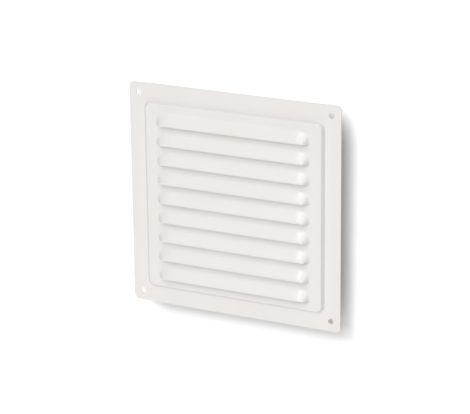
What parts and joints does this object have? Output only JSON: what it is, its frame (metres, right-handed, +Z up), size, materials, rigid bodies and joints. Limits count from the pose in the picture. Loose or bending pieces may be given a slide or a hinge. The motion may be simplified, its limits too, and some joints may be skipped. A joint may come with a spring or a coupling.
{
  "type": "metal vent grille",
  "caption": "Square wall ventilation grille pressed from white painted sheet steel: a flat rim with corner screw holes and a raised panel of louvres open along their lower edges.",
  "frame": {"origin": "middle of the screw hole pattern, on the wall face of the rim", "axes": "+Z up the wall, +X to the right as seen from the front, +Y into the wall; the louvred front faces -Y"},
  "size_m": [0.15, 0.0064, 0.15],
  "materials": {
    "white_paint": "gloss"
  },
  "bodies": {
    "root": {"grille_plate": "white_paint"}
  },
  "joints": []
}
